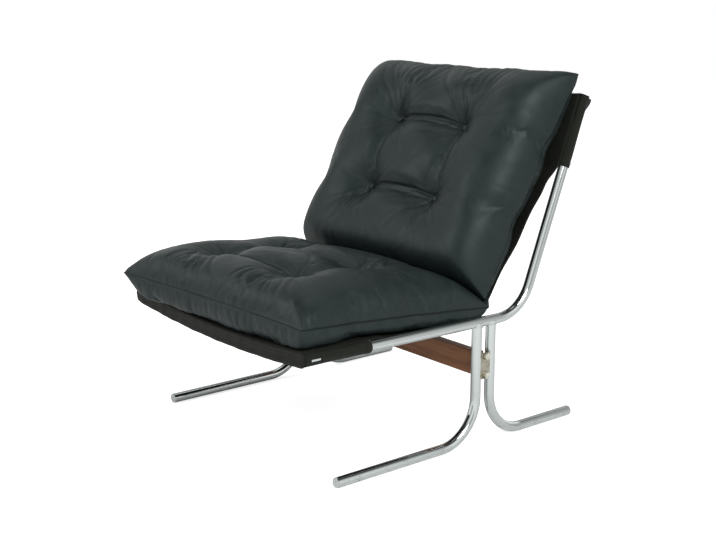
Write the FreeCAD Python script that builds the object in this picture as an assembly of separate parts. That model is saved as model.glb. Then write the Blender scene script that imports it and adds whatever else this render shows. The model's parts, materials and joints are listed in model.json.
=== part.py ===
import FreeCAD, Part
import math
import os
from dataclasses import dataclass
from FreeCAD import Vector

os.makedirs("parts", exist_ok=True)

# A low lounge chair: two chromed tube side frames joined by one wooden stretcher, a cloth sling
# hung from the four tube ends, and two loose tufted cushions. Millimetres, +Z up, front is -Y.
# The model is written with y = 0 midway between the two legs of a side, and every piece is moved
# by LEG_Y when it is saved, so that the chair's box is centred on the origin.
LEG_Y = 90.1

# Tube frame
TUBE_R = 11.0                  # outer radius of every tube
WALL = 2.0                     # tube wall
HALF_TRACK = 312.5             # from the middle to the tube axes of one side
HALF_LEGS = 20.0               # from the middle of a leg pair to each leg's axis
BEND_R = 95.0                  # radius of every bend, on the axis
FLAT = 0.25                    # depth of the flat dressed under each foot
FRONT_FOOT = -388.0            # y of the front foot's tip
REAR_FOOT = 270.0              # y of the rear foot's tip
RAIL_FRONT = (-462.0, 272.2)   # y, z of the rail's front end
RAIL_CORNER = (107.7, 265.9)   # y, z where the rail and the upright would meet
RAIL_TOP = (280.1, 713.7)      # y, z of the upright's top end
WELD_R = 13.0                  # outer radius of the weld beads
PLUG_LONG = 10.0               # stub of an end plug inside the tube
PLUG_DISC = 1.5                # disc of an end plug over the tube's end

# Bracket plates, stretcher and its fastenings
PLATE_X = (4.6, 8.0)           # from the tube axis to the plate's inner and outer face
PLATE_Z = (144.0, 200.0)
BOARD_Z = (147.0, 199.0)
BOARD_HALF_Y = 11.0
BOARD_ROUND = 2.0
BOLT_Z = (152.0, 193.0)
BOLT_R = 4.0
BOLT_LONG = 62.0
BOLT_HOLE = 50.0               # depth of the bolt's hole in the board's end
HEAD_ACROSS = 13.0
HEAD_HIGH = 5.3
WASHER_R = 8.0
WASHER_THICK = 1.6
NUT_R = 6.0
NUT_LONG = 15.0
NUT_IN = 30.0                  # from the board's end to the barrel nut's axis
NUT_SUNK = 2.0                 # from the board's rear face to the barrel nut
FIT = 0.15                     # room round a bolt or a plug

# Sling
CLOTH = 2.0
SLEEVE_IN = 11.3
SLEEVE_OUT = 13.2
SLEEVE_LONG = 157.0
SLEEVE_PAST = 3.0              # how far a sleeve runs past the tube's end
LIFT = 14.0                    # from the tube axes to the sling's lower side
SLING_CORNER = (-15.7, 259.3)  # y, z where the seat and the back of the sling would meet
SLING_BEND = 100.0             # radius between them
BEND_STEPS = 6                 # sections round that bend, and in each free run beside it
RUN_STEPS = 4
SAG = (16.0, 28.0)             # sag across the sling at its ends and in the middle
ON_SLEEVE = 312.0              # half width of the sling on the sleeves, where they end, and between
AT_SLEEVE_END = 306.0
BETWEEN = 297.0
BAND_THICK = 4.0
BAND_HIGH = 30.0
BAND_HALF = 325.0
BAND_GAP = 0.3
EAR_OUT = 15.0                 # how far the flat corner of a top sleeve stands out to the rear
EAR_LONG = 36.0
SLOT_LONG = 24.0               # opening in the outer side of each front sleeve
SLOT_HIGH = 5.0
SLOT_IN = 12.0                 # from the sleeve's tip to the slot

# Cushions
LEATHER = 1.8
FILL_GAP = 0.5                 # room between a cover and its filling
SEAM_GAP = 0.15                # from the seam plane to each cover's rim
SOFT_GAP = 6.5                 # room between a cushion and the sling at the sections
SWELL = 6                      # higher is blunter at the ends of a cushion
LOBE_BELOW = 0.62              # where the outer lobes are lowest, from the tufts to the side
SHOULDER = 0.9                 # share of the half length where the ends begin to round off
SPREAD = 1.25                  # the outer lobes are kept clear of the sling this much further out
CHANNEL = 14.0                 # depth of the channels between the tufts, above and below
CHANNEL_BELOW = 6.0
BUTTON_R = 6.0
BUTTON_HIGH = 7.0
CORD_R = 1.0


def at(place, x=0.0):
    """Point from y, z in a side view."""
    return Vector(x, place[0], place[1])


def save(node, shape):
    moved = shape.copy()
    moved.translate(Vector(0, LEG_Y, 0))
    moved.exportStep("parts/" + node + ".step")


def mirrored(shape):
    return shape.mirror(Vector(0, 0, 0), Vector(1, 0, 0))


def save_pair(node, shape):
    save("right_" + node, shape)
    save("left_" + node, mirrored(shape))


def save_group(node, solids, both_sides=True):
    others = [mirrored(solid) for solid in solids] if both_sides else []
    save(node, Part.makeCompound(solids + others))


def rod(start, end, radius):
    axis = end - start
    return Part.makeCylinder(radius, axis.Length, start, axis)


def disc(centre, axis, radius):
    return Part.Face(Part.Wire(Part.makeCircle(radius, centre, axis)))


def ring_face(centre, axis, outer, inner):
    face = disc(centre, axis, outer)
    if inner > 0:
        face = face.cut(disc(centre, axis, inner)).Faces[0]
    return face


def bent_tube(start, corner, end, outer, inner=0.0):
    """Straight run, tangent bend at the corner, straight run."""
    first = (corner - start).normalize()
    last = (end - corner).normalize()
    turn = first.getAngle(last)
    reach = BEND_R * math.tan(turn / 2)
    bend_start = corner - first * reach
    bend_end = corner + last * reach
    axis = first.cross(last).normalize()
    centre = bend_start + axis.cross(first) * BEND_R
    run_in = ring_face(start, first, outer, inner).extrude(bend_start - start)
    bend = ring_face(bend_start, first, outer, inner).revolve(centre, axis, math.degrees(turn))
    run_out = ring_face(bend_end, last, outer, inner).extrude(end - bend_end)
    return run_in.fuse([bend, run_out]).removeSplitter()


# Directions of the rail and of the upright, away from their shared corner
FRONTWARD = (at(RAIL_FRONT) - at(RAIL_CORNER)).normalize()
UPWARD = (at(RAIL_TOP) - at(RAIL_CORNER)).normalize()


# Side frames
def side_frame():
    """Rail, legs, welds and plugs; gives back the legs as full rods."""
    start = at(RAIL_FRONT, HALF_TRACK)
    corner = at(RAIL_CORNER, HALF_TRACK)
    top = at(RAIL_TOP, HALF_TRACK)
    rail = bent_tube(start, corner, top, TUBE_R)
    save_pair("side_rail", bent_tube(start, corner, top, TUBE_R, TUBE_R - WALL))

    legs, welds, foot_plugs = [], [], []
    for name, sign, tip in (("front_leg", -1, FRONT_FOOT), ("rear_leg", 1, REAR_FOOT)):
        y = sign * HALF_LEGS
        foot_z = TUBE_R - FLAT
        high = corner + FRONTWARD * ((y - RAIL_CORNER[0]) / FRONTWARD.y)
        low = at((y, foot_z), HALF_TRACK)
        toe = at((tip, foot_z), HALF_TRACK)
        leg = bent_tube(high, low, toe, TUBE_R)
        under = Part.makeBox(4 * TUBE_R, 2 * abs(tip), TUBE_R,
                             Vector(HALF_TRACK - 2 * TUBE_R, -abs(tip), -TUBE_R))
        hollow = bent_tube(high, low, toe, TUBE_R, TUBE_R - WALL)
        save_pair(name, hollow.cut(rail).cut(under))
        legs.append(leg)
        welds.append(weld_bead(high, leg, rail))
        foot_plugs.append(end_plug(toe, Vector(0, sign, 0)))
    save_group("leg_welds", welds)
    save_group("foot_plugs", foot_plugs)
    save_group("rail_plugs", [end_plug(start, FRONTWARD), end_plug(top, UPWARD)])
    return legs


def weld_bead(high, leg, rail):
    """Metal within a bead's reach of both the leg and the rail, below the rail's axis."""
    round_leg = rod(high - Vector(0, 0, 2 * TUBE_R), high, WELD_R)
    along = FRONTWARD * (3 * TUBE_R)
    round_rail = rod(high - along, high + along, WELD_R)
    return round_leg.common(round_rail).cut(leg).cut(rail)


def end_plug(tip, outward):
    """Disc over the tube's end with a stub that sits in the bore."""
    stub = rod(tip - outward * PLUG_LONG, tip, TUBE_R - WALL - FIT)
    cap = rod(tip, tip + outward * PLUG_DISC, TUBE_R - 2 * FLAT)
    return stub.fuse(cap).removeSplitter()


# Plates, stretcher and its fastenings
def stretcher_set(legs):
    x_in, x_out = (HALF_TRACK + offset for offset in PLATE_X)
    plate = Part.makeBox(x_out - x_in, 2 * HALF_LEGS, PLATE_Z[1] - PLATE_Z[0],
                         Vector(x_in, -HALF_LEGS, PLATE_Z[0]))
    plate = plate.cut(legs[0]).cut(legs[1])
    plate = min(plate.Solids, key=lambda solid: abs(solid.CenterOfMass.y))
    half_long = HALF_TRACK - TUBE_R
    board = Part.makeBox(2 * half_long, 2 * BOARD_HALF_Y, BOARD_Z[1] - BOARD_Z[0],
                         Vector(-half_long, -BOARD_HALF_Y, BOARD_Z[0]))
    board = board.makeFillet(BOARD_ROUND, [edge for edge in board.Edges if edge.Length > half_long])

    bolts, washers, nuts = [], [], []
    outward = Vector(1, 0, 0)
    rearward = Vector(0, 1, 0)
    for z in BOLT_Z:
        seat = Vector(x_out, 0, z)
        under_head = seat + outward * WASHER_THICK
        hole = rod(Vector(half_long - BOLT_HOLE, 0, z), under_head, BOLT_R + FIT)
        nut_rear = Vector(half_long - NUT_IN, BOARD_HALF_Y - NUT_SUNK, z)
        nut_front = nut_rear - rearward * NUT_LONG
        nut_way = rod(nut_front, nut_rear + rearward * (2 * NUT_SUNK), NUT_R + FIT)
        plate = plate.cut(hole)
        board = board.cut(hole).cut(mirrored(hole)).cut(nut_way).cut(mirrored(nut_way))
        nuts.append(rod(nut_front, nut_rear, NUT_R).cut(hole))
        washers.append(rod(seat, under_head, WASHER_R).cut(hole))
        bolts.append(hex_bolt(under_head))
    save_pair("bracket_plate", plate)
    save("stretcher", board)
    save_group("stretcher_bolts", bolts)
    save_group("stretcher_washers", washers)
    save_group("barrel_nuts", nuts)


def hex_bolt(under_head):
    corner_r = HEAD_ACROSS / math.sqrt(3)
    turns = [math.radians(60 * index) for index in range(7)]
    corners = [under_head + Vector(0, math.cos(turn), math.sin(turn)) * corner_r for turn in turns]
    head = Part.Face(Part.makePolygon(corners)).extrude(Vector(HEAD_HIGH, 0, 0))
    shank = rod(under_head, under_head - Vector(BOLT_LONG, 0, 0), BOLT_R)
    return head.fuse(shank).removeSplitter()


# Soft sheets
def arc(first, middle, last):
    return Part.Arc(first, middle, last).toShape()


def free_edges(shell):
    def faces_at(edge):
        return sum(any(edge.isSame(other) for other in face.Edges) for face in shell.Faces)
    return [edge for edge in shell.Edges if faces_at(edge) == 1]


def ends_apart(edge, other):
    a, b = (vertex.Point for vertex in edge.Vertexes)
    c, d = (vertex.Point for vertex in other.Vertexes)
    return min((a - c).Length + (b - d).Length, (a - d).Length + (b - c).Length)


def solid_between(upper, lower, ruled=False):
    """Closed solid between two lofted sheets with the same layout of section wires."""
    sheets = [Part.makeLoft(wires, False, ruled) for wires in (upper, lower)]
    faces = sheets[0].Faces + sheets[1].Faces
    lower_rim = free_edges(sheets[1])
    for edge in free_edges(sheets[0]):
        partner = min(lower_rim, key=lambda other: ends_apart(edge, other))
        faces.append(Part.makeRuledSurface(edge, partner))
    shell = Part.makeShell(faces)
    shell.sewShape()
    solid = Part.makeSolid(shell)
    if solid.Volume < 0:
        solid.reverse()
    return solid


# Sling
def run(start, end, count):
    """Evenly spaced points from the start, without the end."""
    return [start + (end - start) * (index / count) for index in range(count)]


def sling_path():
    """Lower side of the sling's edge from the front hem to the top hem, with its half widths."""
    up = Vector(0, -FRONTWARD.z, FRONTWARD.y) * -LIFT
    ahead = Vector(0, -UPWARD.z, UPWARD.y) * LIFT
    front = at(RAIL_FRONT) + FRONTWARD * SLEEVE_PAST + up
    front_end = front - FRONTWARD * SLEEVE_LONG
    top = at(RAIL_TOP) + UPWARD * SLEEVE_PAST + ahead
    top_end = top - UPWARD * SLEEVE_LONG
    corner = at(SLING_CORNER)
    to_front = (front_end - corner).normalize()
    to_top = (top_end - corner).normalize()
    opening = to_front.getAngle(to_top)
    reach = SLING_BEND / math.tan(opening / 2)
    centre = corner + (to_front + to_top).normalize() * (SLING_BEND / math.sin(opening / 2))
    bend = []
    spoke = (corner - centre).normalize() * SLING_BEND
    side_step = Vector(0, -spoke.z, spoke.y)
    for index in range(BEND_STEPS + 1):
        turn = (math.pi - opening) * (index / BEND_STEPS - 0.5)
        bend.append(centre + spoke * math.cos(turn) + side_step * math.sin(turn))
    seat_run = run(front_end, corner + to_front * reach, RUN_STEPS)[1:]
    back_run = run(bend[-1], top_end, RUN_STEPS)[1:]
    free = seat_run + bend + back_run
    points = run(front, front_end, 2) + [front_end] + free + [top_end] + run(top, top_end, 2)[::-1]
    sleeved = [ON_SLEEVE, ON_SLEEVE, AT_SLEEVE_END]
    return points, sleeved + [BETWEEN] * len(free) + sleeved[::-1]


@dataclass
class Station:
    """One section across the sling."""
    point: Vector
    normal: Vector
    sag: float
    half: float

    def wire(self, lift, half=None, shift=Vector(0, 0, 0)):
        middle = self.point + self.normal * lift + shift
        across = Vector(half or self.half, 0, 0)
        return Part.Wire(arc(middle - across, middle - self.normal * self.sag, middle + across))


def sling_stations():
    points, halves = sling_path()
    count = len(points)
    stations = []
    for index, (point, half) in enumerate(zip(points, halves)):
        along = points[min(index + 1, count - 1)] - points[max(index - 1, 0)]
        normal = Vector(0, -along.z, along.y).normalize()
        sag = SAG[0] + (SAG[1] - SAG[0]) * math.sin(math.pi * index / (count - 1))
        stations.append(Station(point, normal, sag, half))
    return stations


SLING = sling_stations()


def sling_set():
    upper = [station.wire(CLOTH) for station in SLING]
    lower = [station.wire(0.0) for station in SLING]
    save("sling_panel", solid_between(upper, lower, True))
    hem_band("front_band", SLING[0], FRONTWARD)
    hem_band("top_band", SLING[-1], UPWARD)

    front_tip = at(RAIL_FRONT, HALF_TRACK) + FRONTWARD * SLEEVE_PAST
    slot_corner = front_tip - FRONTWARD * SLOT_IN - Vector(0, 0, SLOT_HIGH / 2)
    slot = Part.makeBox(2 * SLEEVE_OUT, SLOT_LONG, SLOT_HIGH, slot_corner)
    save_pair("front_sleeve", sleeve(front_tip, FRONTWARD).cut(slot))

    top_tip = at(RAIL_TOP, HALF_TRACK) + UPWARD * SLEEVE_PAST
    rearward = Vector(0, UPWARD.z, -UPWARD.y)
    root = top_tip + rearward * ((SLEEVE_IN + SLEEVE_OUT) / 2) - Vector(CLOTH, 0, 0)
    corners = [root, root + rearward * EAR_OUT, root - UPWARD * EAR_LONG, root]
    ear = Part.Face(Part.makePolygon(corners)).extrude(Vector(2 * CLOTH, 0, 0))
    save_pair("top_sleeve", sleeve(top_tip, UPWARD).fuse(ear).removeSplitter())


def sleeve(tip, outward):
    end = tip - outward * SLEEVE_LONG
    return rod(tip, end, SLEEVE_OUT).cut(rod(tip, end, SLEEVE_IN))


def hem_band(node, station, outward):
    """Strip across the end of the sling that closes the two sleeves."""
    shifts = [outward * BAND_GAP, outward * (BAND_GAP + BAND_THICK)]
    upper = [station.wire(CLOTH, BAND_HALF, shift) for shift in shifts]
    lower = [station.wire(CLOTH - BAND_HIGH, BAND_HALF, shift) for shift in shifts]
    save(node, solid_between(upper, lower, True))


# Cushions
@dataclass
class Cushion:
    """A knife-edged pillow with two rows of two tufts, laid on its seam plane."""
    first: tuple           # y, z of the seam at the first end
    last: tuple            # y, z of the seam at the last end
    half: float            # half width at the corners
    column: float          # from the middle to each column of tufts
    rows: tuple            # rows of tufts, as shares of the half length
    crown: float           # height of the lobes and of the tufts over the seam plane
    tuft: float
    belly: float           # the same under it
    belly_tuft: float
    draw: float            # how far the sides are drawn in
    bow: tuple             # how far each end is drawn in
    lobe: float            # where the outer upper lobes are highest, from the tufts to the side
    pressed_end: int       # the end that the other cushion presses on, and how steeply
    press: float

    def __post_init__(self):
        first, last = at(self.first), at(self.last)
        self.middle = (first + last) / 2
        self.half_long = (last - first).Length / 2
        self.along = (last - first).normalize()
        self.up = Vector(0, -self.along.z, self.along.y)
        low, high = self.rows
        # Share of the half length, and whether a row of tufts pulls the section in
        self.sections = [(-1, 0), (-0.97, 0), (-0.88, 0), ((low - SHOULDER) / 2, 0), (low, 1),
                         ((low + high) / 2, 0), (high, 1), ((high + SHOULDER) / 2, 0), (0.88, 0),
                         (0.97, 0), (1, 0)]

    def place(self, x, along, up):
        return self.middle + self.along * along + self.up * up + Vector(x, 0, 0)

    def sling_under(self, x, along):
        """Height of the sling's upper side in the cushion's own frame."""
        line = []
        for station in SLING:
            offset = station.point - self.middle
            sag = station.sag * max(0.0, 1 - (x / station.half) ** 2)
            line.append((offset.dot(self.along), offset.dot(self.up) - sag + CLOTH))
        reach = min(max(along, line[0][0]), line[-1][0])
        for (s0, w0), (s1, w1) in zip(line, line[1:]):
            if s0 <= reach <= s1:
                return w0 + (w1 - w0) * (reach - s0) / (s1 - s0)

    def height(self, x, share, pulled, upper, in_by=0.0):
        """Distance from the seam plane to the cover's face, or to a face inside it."""
        swell = math.sqrt(max(0.0, 1 - abs(share) ** SWELL))
        on_column = abs(abs(x) - self.column) < 1
        if upper:
            in_channel = self.crown - CHANNEL * (on_column or pulled)
            tall = self.tuft if on_column and pulled else in_channel
            room = self.press * (1 - share * self.pressed_end) * self.half_long
            return max(min(swell * tall, room) - in_by, SEAM_GAP)
        in_channel = self.belly - CHANNEL_BELOW * (on_column or pulled)
        deep = self.belly_tuft if on_column and pulled else in_channel
        nearest = x * SPREAD if abs(x) > self.column + 1 else x
        room = -self.sling_under(nearest, share * self.half_long) - SOFT_GAP
        return -max(min(swell * deep, room) - in_by, SEAM_GAP)

    def wire(self, share, pulled, upper, in_by):
        """Three arcs across the cushion, with valleys on the two tuft columns."""
        half = self.half - self.draw * (1 - share ** 2) - in_by
        lobe = self.column + (self.lobe if upper else LOBE_BELOW) * (half - self.column)
        bow = self.bow[0] if share < 0 else self.bow[1]

        def point(x):
            reach = self.half_long - in_by - bow * (1 - (x / half) ** 2) * share ** 2
            if abs(x) == half:
                up = SEAM_GAP if upper else -SEAM_GAP
            else:
                up = self.height(x, share, pulled, upper, in_by)
            return self.place(x, share * reach, up)

        knots = [point(x) for x in (-half, -lobe, -self.column, 0, self.column, lobe, half)]
        return Part.Wire([arc(*knots[k:k + 3]) for k in (0, 2, 4)])

    def wires(self, upper, in_by=0.0):
        return [self.wire(share, pulled, upper, in_by) for share, pulled in self.sections]

    def save(self, name):
        in_fill = LEATHER + FILL_GAP
        body = solid_between(self.wires(True), self.wires(False))
        upper = solid_between(self.wires(True), self.wires(True, LEATHER))
        lower = solid_between(self.wires(False, LEATHER), self.wires(False))
        fill = solid_between(self.wires(True, in_fill), self.wires(False, in_fill))

        cords, ways, buttons = [], [], []
        for x, row in [(x, row) for row in self.rows for x in (-self.column, self.column)]:
            along = row * self.half_long
            high = self.place(x, along, self.height(x, row, 1, True))
            low = self.place(x, along, self.height(x, row, 1, False))
            past = self.up * (2 * BUTTON_HIGH)
            cords.append(rod(low, high, CORD_R))
            ways.append(rod(low - past, high + past, CORD_R + FIT))
            for end, out in ((high, self.up), (low, -self.up)):
                buttons.append(rod(end - out, end + out * BUTTON_HIGH, BUTTON_R).cut(body))
        way = Part.makeCompound(ways)
        save(name + "_upper_cover", upper.cut(way))
        save(name + "_lower_cover", lower.cut(way))
        save(name + "_fill", fill.cut(way))
        save_group(name + "_cords", cords, False)
        save_group(name + "_buttons", buttons, False)


SEAT = Cushion(first=(-490.0, 330.0), last=(-6.0, 294.0), half=306.0, column=128.0,
               rows=(-0.47, 0.18), crown=79.0, tuft=50.0, belly=64.0, belly_tuft=38.0,
               draw=10.0, bow=(14.0, -8.0), lobe=0.62, pressed_end=1, press=1.2)
BACK = Cushion(first=(8.0, 311.0), last=(270.0, 762.0), half=306.0, column=109.0,
               rows=(-0.33, 0.33), crown=95.0, tuft=66.0, belly=58.0, belly_tuft=36.0,
               draw=12.0, bow=(-8.0, 14.0), lobe=0.75, pressed_end=-1, press=1.9)

stretcher_set(side_frame())
sling_set()
SEAT.save("seat")
BACK.save("back")
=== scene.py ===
# %% [markdown]
# # A low lounge chair: chromed tube, cloth sling and two tufted leather cushions
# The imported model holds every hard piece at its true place, in metres. This file keeps those
# pieces, gives each of them a finish, and makes the soft pieces anew: the sling with its sleeves
# and hems, and the two cushions. Up is +Z and the front of the chair is -Y.

# %% Load the model
import json
import math

import bpy
import numpy as np
from mathutils import Matrix


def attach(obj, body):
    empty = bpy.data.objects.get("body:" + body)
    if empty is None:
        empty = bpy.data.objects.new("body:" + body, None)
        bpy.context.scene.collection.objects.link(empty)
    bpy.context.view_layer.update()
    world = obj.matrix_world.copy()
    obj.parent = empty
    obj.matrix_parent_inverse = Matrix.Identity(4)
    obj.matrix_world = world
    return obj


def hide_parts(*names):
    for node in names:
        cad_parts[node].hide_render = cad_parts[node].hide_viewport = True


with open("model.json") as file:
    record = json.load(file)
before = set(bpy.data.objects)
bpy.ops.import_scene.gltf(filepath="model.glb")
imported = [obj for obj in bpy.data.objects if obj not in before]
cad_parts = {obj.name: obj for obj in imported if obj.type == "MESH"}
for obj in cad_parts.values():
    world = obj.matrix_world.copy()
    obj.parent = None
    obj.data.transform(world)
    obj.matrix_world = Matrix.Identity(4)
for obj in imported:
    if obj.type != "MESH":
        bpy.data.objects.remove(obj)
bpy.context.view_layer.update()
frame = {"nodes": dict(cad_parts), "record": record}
nodes = frame["nodes"]
scene = bpy.context.scene
scene.view_settings.view_transform = "Standard"

# %% [markdown]
# ## The camera
# The photograph was taken from the chair's front right, a little above the seat. Three unit
# vectors are enough to place a camera: one from the chair towards the camera, one to the right
# and level with the floor, and one up that is square to both. The focal length follows from how
# much smaller the far side of the chair looks than the near side.

# %% Camera
AZIMUTH, ELEVATION = math.radians(51.555), math.radians(13.239)
CAMERA_AT, FOCAL_LENGTH = (2.00041, -1.58445, 0.9322), 59.29
backward = np.array([math.sin(AZIMUTH) * math.cos(ELEVATION),
                     -math.cos(AZIMUTH) * math.cos(ELEVATION), math.sin(ELEVATION)])
rightward = np.array([math.cos(AZIMUTH), math.sin(AZIMUTH), 0.0])
pose = np.eye(4)
pose[:3] = np.stack([rightward, np.cross(backward, rightward), backward, CAMERA_AT], axis=1)
lens = bpy.data.cameras.new("camera")
lens.sensor_width = 36.0
lens.lens = FOCAL_LENGTH
camera = bpy.data.objects.new("camera", lens)
camera.matrix_world = Matrix(pose.tolist())
scene.collection.objects.link(camera)
scene.camera = camera
print("camera at", [round(value, 3) for value in camera.matrix_world.translation])

# %% [markdown]
# ## The studio
# The photograph has a plain white ground. A white floor and a white world give it, and Light
# Path tells them apart from the light that falls on the chair: rays from the camera see white,
# while the light itself stays at a plain level. A mirror-like tube shows its whole
# surroundings, so the world is darker overhead, as a studio's ceiling is, and that draws the
# dark line along the upper edge of each tube. Round the walls, lighter and darker bands draw the
# streaks along the legs. Only mirrored rays see the ceiling and the bands.

# %% Small helpers for node trees
def add(tree, kind, inputs=None, **settings):
    """Adds one node, sets its own settings, and fills sockets with values or links."""
    node = tree.nodes.new(kind)
    for name, value in settings.items():
        setattr(node, name, value)
    for name, value in (inputs or {}).items():
        if isinstance(value, bpy.types.NodeSocket):
            tree.links.new(value, node.inputs[name])
        else:
            node.inputs[name].default_value = value
    return node


def maths(tree, operation, first, second=0.0):
    """One Math node; each operand is a number or another node's output."""
    return add(tree, "ShaderNodeMath", {0: first, 1: second}, operation=operation).outputs[0]


def ramp(tree, value, low, high, to_low=0.0, to_high=1.0):
    """Smooth step from to_low to to_high while value goes from low to high."""
    node = add(tree, "ShaderNodeMapRange", {0: value, 1: low, 2: high, 3: to_low, 4: to_high},
               interpolation_type="SMOOTHSTEP")
    return node.outputs[0]


# %% World
DAYLIGHT = 0.55
WALL_BANDS, BAND_PHASE, BAND_DARK, BAND_LIGHT = 5.0, -0.4, 0.52, 1.12
world = bpy.data.worlds.new("studio")
world.use_nodes = True
scene.world = world
sky = world.node_tree
sky.nodes.clear()
path = add(sky, "ShaderNodeLightPath").outputs
direction = add(sky, "ShaderNodeTexCoord").outputs["Generated"]
towards = add(sky, "ShaderNodeSeparateXYZ", {0: direction}).outputs
ceiling = ramp(sky, towards[2], 0.55, 0.80, 1.0, 0.10)
round_room = maths(sky, "MULTIPLY", maths(sky, "ARCTAN2", towards[1], towards[0]), WALL_BANDS)
wave = maths(sky, "SINE", maths(sky, "ADD", round_room, BAND_PHASE))
walls = ramp(sky, wave, -1.0, 1.0, BAND_DARK, BAND_LIGHT)
room = maths(sky, "MULTIPLY", ceiling, walls)
mirrored_level = maths(sky, "MULTIPLY", room, path["Is Glossy Ray"])
seen = maths(sky, "MAXIMUM", path["Is Camera Ray"], path["Is Transmission Ray"])
lit = maths(sky, "MULTIPLY", maths(sky, "SUBTRACT", 1.0, path["Is Glossy Ray"]), DAYLIGHT)
level = maths(sky, "MAXIMUM", maths(sky, "MAXIMUM", lit, seen), mirrored_level)
ground = add(sky, "ShaderNodeBackground", {"Color": (1, 1, 1, 1), "Strength": level})
add(sky, "ShaderNodeOutputWorld", {"Surface": ground.outputs[0]})
print("world light", DAYLIGHT)

# %% Floor
FLOOR_GLOW = 0.70
floor_mesh = bpy.data.meshes.new("floor")
floor_mesh.from_pydata([(-9, -9, 0), (9, -9, 0), (9, 9, 0), (-9, 9, 0)], [], [(0, 1, 2, 3)])
floor = bpy.data.objects.new("floor", floor_mesh)
scene.collection.objects.link(floor)
paper = bpy.data.materials.new("paper_floor")
paper.use_nodes = True
tree = paper.node_tree
tree.nodes.clear()
matte = add(tree, "ShaderNodeBsdfDiffuse", {"Color": (0.86, 0.86, 0.86, 1)})
white = add(tree, "ShaderNodeEmission", {"Color": (1, 1, 1, 1)})
from_camera = add(tree, "ShaderNodeLightPath").outputs["Is Camera Ray"]
to_camera = maths(tree, "MULTIPLY", from_camera, FLOOR_GLOW)
tree.links.new(to_camera, white.inputs["Strength"])
both = add(tree, "ShaderNodeAddShader", {0: matte.outputs[0], 1: white.outputs[0]})
add(tree, "ShaderNodeOutputMaterial", {"Surface": both.outputs[0]})
floor_mesh.materials.append(paper)
print("floor glow", FLOOR_GLOW)


# %% Lamps
def soft_box(name, place, target, size, watts):
    """A square lamp that faces a target point."""
    lamp = bpy.data.lights.new(name, "AREA")
    lamp.size = size
    lamp.energy = watts
    box = bpy.data.objects.new(name, lamp)
    aim = np.subtract(place, target)
    aim = aim / np.linalg.norm(aim)
    side = np.cross([0, 0, 1], aim)
    side = side / np.linalg.norm(side)
    turn = np.eye(4)
    turn[:3] = np.stack([side, np.cross(aim, side), aim, place], axis=1)
    box.matrix_world = Matrix(turn.tolist())
    scene.collection.objects.link(box)


MIDDLE = (0.0, 0.0, 0.4)
soft_box("key_lamp", (2.6, -0.6, 2.3), MIDDLE, 1.6, 70)
soft_box("front_lamp", (-1.6, -2.6, 2.2), MIDDLE, 1.8, 33)
soft_box("top_lamp", (-0.5, 0.6, 2.9), MIDDLE, 1.6, 10)

# %% [markdown]
# ## Surfaces from arrays
# Every new piece is a grid of points worked out as whole arrays. Two parameters run over the
# grid, one per side, and a formula turns them into x, y and z. One helper then turns any grid
# into a mesh: the corners of each quad are four shifted copies of the grid of point numbers.

# %% Mesh helpers
def quads(index, close_rows=False, close_columns=False):
    """Four corner numbers for each cell of a grid of point numbers, wrapped where it closes."""
    if close_rows:
        index = np.concatenate([index, index[:1]], axis=0)
    if close_columns:
        index = np.concatenate([index, index[:, :1]], axis=1)
    return np.stack([index[:-1, :-1], index[1:, :-1], index[1:, 1:], index[:-1, 1:]], axis=-1)


def piece(name, points, faces, material, body, uv=None):
    """A smooth mesh object from points and quads, riding on one body of the chair."""
    points = np.asarray(points, dtype=float).reshape(-1, 3)
    faces = np.asarray(faces, dtype=int).reshape(-1, 4)
    mesh = bpy.data.meshes.new(name)
    mesh.vertices.add(len(points))
    mesh.vertices.foreach_set("co", points.ravel())
    mesh.loops.add(faces.size)
    mesh.loops.foreach_set("vertex_index", faces.ravel())
    mesh.polygons.add(len(faces))
    mesh.polygons.foreach_set("loop_start", np.arange(0, faces.size, 4))
    mesh.update(calc_edges=True)
    mesh.validate()
    mesh.shade_smooth()
    if uv is not None:
        layer = mesh.uv_layers.new(name="UVMap")
        layer.data.foreach_set("uv", np.asarray(uv).reshape(-1, 2)[faces.ravel()].ravel())
    made = bpy.data.objects.new(name, mesh)
    scene.collection.objects.link(made)
    mesh.materials.append(material)
    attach(made, body)
    return made


def numbered(shape, start=0):
    """Grid of point numbers that count on from a start."""
    return np.arange(start, start + shape[0] * shape[1]).reshape(shape)


def parameters(rows, columns):
    """The two parameters at every point of a grid, from their values along its sides."""
    return np.meshgrid(rows, columns, indexing="ij")


def circle(count):
    """Angles once round, in even steps."""
    return np.linspace(0, 2 * math.pi, count + 1)[:-1]


def unit(vectors):
    """The vectors, each divided by its length."""
    return vectors / np.linalg.norm(vectors, axis=-1, keepdims=True)


def lengths(line):
    """Length along a line of points, at each of them."""
    return np.concatenate([[0], np.cumsum(np.linalg.norm(np.diff(line, axis=0), axis=1))])


# %% [markdown]
# ## Finishes
# A finish that looks real is never one flat value. Chrome carries faint smears and, near the
# floor, small pits. Zinc is blotched. Leather has a pebbled grain, cloth a weave and wood long
# pores. The patterns that more than one finish needs are node groups, built once here.

# %% Shared patterns
def pattern(name, inputs, outputs):
    """An empty node group with named number and vector sockets."""
    tree = bpy.data.node_groups.new(name, "ShaderNodeTree")
    for socket, kind, value in inputs:
        made = tree.interface.new_socket(name=socket, in_out="INPUT", socket_type=kind)
        if value is not None:
            made.default_value = value
    for socket in outputs:
        tree.interface.new_socket(name=socket, in_out="OUTPUT", socket_type="NodeSocketFloat")
    return tree, tree.nodes.new("NodeGroupInput").outputs, tree.nodes.new("NodeGroupOutput").inputs


def noise(tree, vector, scale, detail=3.0, rough=0.5):
    """Fractal noise, from 0 to 1, read at a vector."""
    return add(tree, "ShaderNodeTexNoise", {"Vector": vector, "Scale": scale, "Detail": detail,
                                            "Roughness": rough}).outputs[0]


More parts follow.
